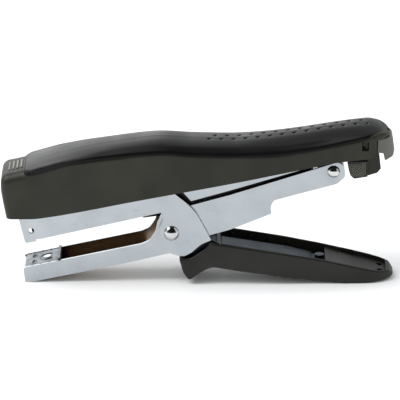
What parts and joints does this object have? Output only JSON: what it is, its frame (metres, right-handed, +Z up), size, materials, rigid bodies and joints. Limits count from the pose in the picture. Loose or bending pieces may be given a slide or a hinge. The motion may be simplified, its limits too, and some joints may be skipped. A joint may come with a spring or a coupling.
{
  "type": "plier stapler",
  "caption": "Hand-held plier stapler with a long cover and soft grip, a hinged anvil jaw on a big rivet, a squeeze handle below and a slide-out pusher at the rear.",
  "frame": {"origin": "on the bench, under the middle of the stapler's length and width, at rest on the jaw's front corner and the handle's tail", "axes": "+X to the rear end where the pusher comes out, +Y to the far side of the mirror plane, +Z up"},
  "size_m": [0.1964, 0.0286, 0.0851],
  "materials": {
    "nickel_steel": "nickel-plated stamped steel sheet, semi-bright",
    "polished_rivet": "polished nickel-plated rivet heads",
    "blued_steel": "blued spring steel, dark",
    "spring_steel": "bare hardened spring steel",
    "bronze_bush": "sintered bronze, dull",
    "zinc_steel": "zinc-plated steel, bluish",
    "anvil_steel": "case-hardened steel, coined pockets",
    "moulded_plastic": "fine-textured moulded ABS, olive charcoal",
    "handle_plastic": "glass-filled nylon, satin, dark olive",
    "soft_rubber": "overmoulded soft grip, satin black"
  },
  "bodies": {
    "frame": {"side_plates": "nickel_steel", "link_plates": "nickel_steel", "staple_channel": "blued_steel", "staple_rail": "blued_steel", "channel_rivets": "nickel_steel", "main_rivet": "polished_rivet", "main_bush": "bronze_bush", "rear_rivets": "polished_rivet", "jaw_spring": "spring_steel"},
    "head": {"upper_cover": "moulded_plastic", "soft_grip": "soft_rubber", "nose_ribs": "moulded_plastic", "head_frame": "nickel_steel", "cover_screws": "blued_steel", "driver_blade": "spring_steel", "driver_rivets": "polished_rivet", "head_spring": "spring_steel"},
    "jaw": {"jaw_arm": "nickel_steel", "anvil_plate": "anvil_steel", "anvil_rivets": "anvil_steel"},
    "handle": {"handle_shell": "handle_plastic", "handle_lever": "zinc_steel", "lever_pin": "polished_rivet", "lever_screw": "blued_steel"},
    "pusher": {"pusher_knob": "moulded_plastic", "pusher_rod": "spring_steel", "rod_washer": "zinc_steel"},
    "latch_near": {"latch_near": "moulded_plastic"},
    "latch_far": {"latch_far": "moulded_plastic"},
    "shoe": {"pusher_shoe": "zinc_steel", "pusher_spring": "spring_steel"}
  },
  "joints": [
    {"name": "handle_squeeze", "type": "hinge", "parent": "frame", "child": "handle", "pos_m": [-0.0133, 0, 0.0269], "axis": [0, -1, 0], "range_deg": [0, 20], "stiffness_Nm_per_rad": 1.2, "springref_deg": -34.38, "deforming": ["jaw_spring"]},
    {"name": "jaw_close", "type": "hinge", "parent": "frame", "child": "jaw", "pos_m": [-0.0133, 0, 0.0269], "axis": [0, 1, 0], "range_deg": [0, 10.2]},
    {"name": "head_press", "type": "hinge", "parent": "frame", "child": "head", "pos_m": [0.0672, 0, 0.0592], "axis": [0, -1, 0], "range_deg": [0, 3.2], "deforming": ["head_spring"]},
    {"name": "pusher_slide", "type": "slide", "parent": "frame", "child": "pusher", "axis": [0.9736, 0, 0.2284], "range_m": [0, 0.105]},
    {"name": "shoe_slide", "type": "slide", "parent": "pusher", "child": "shoe", "axis": [0.9736, 0, 0.2284], "range_m": [0, 0.1], "stiffness_N_per_m": 20, "springref_m": -0.1, "deforming": ["pusher_spring"]},
    {"name": "latch_squeeze", "type": "hinge", "parent": "pusher", "child": "latch_near", "pos_m": [0.0905, -0.00875, 0.068], "axis": [0, 0, -1], "range_deg": [0, 6], "stiffness_Nm_per_rad": 0.4, "springref_deg": -2.86},
    {"name": "latch_squeeze_far", "type": "hinge", "parent": "pusher", "child": "latch_far", "pos_m": [0.0905, 0.00875, 0.068], "axis": [0, 0, 1], "range_deg": [0, 6]}
  ],
  "couplings": [
    {"joint": "jaw_close", "follows": "handle_squeeze", "ratio": 0.51},
    {"joint": "head_press", "follows": "handle_squeeze", "ratio": 0.16},
    {"joint": "latch_squeeze_far", "follows": "latch_squeeze", "ratio": 1}
  ]
}
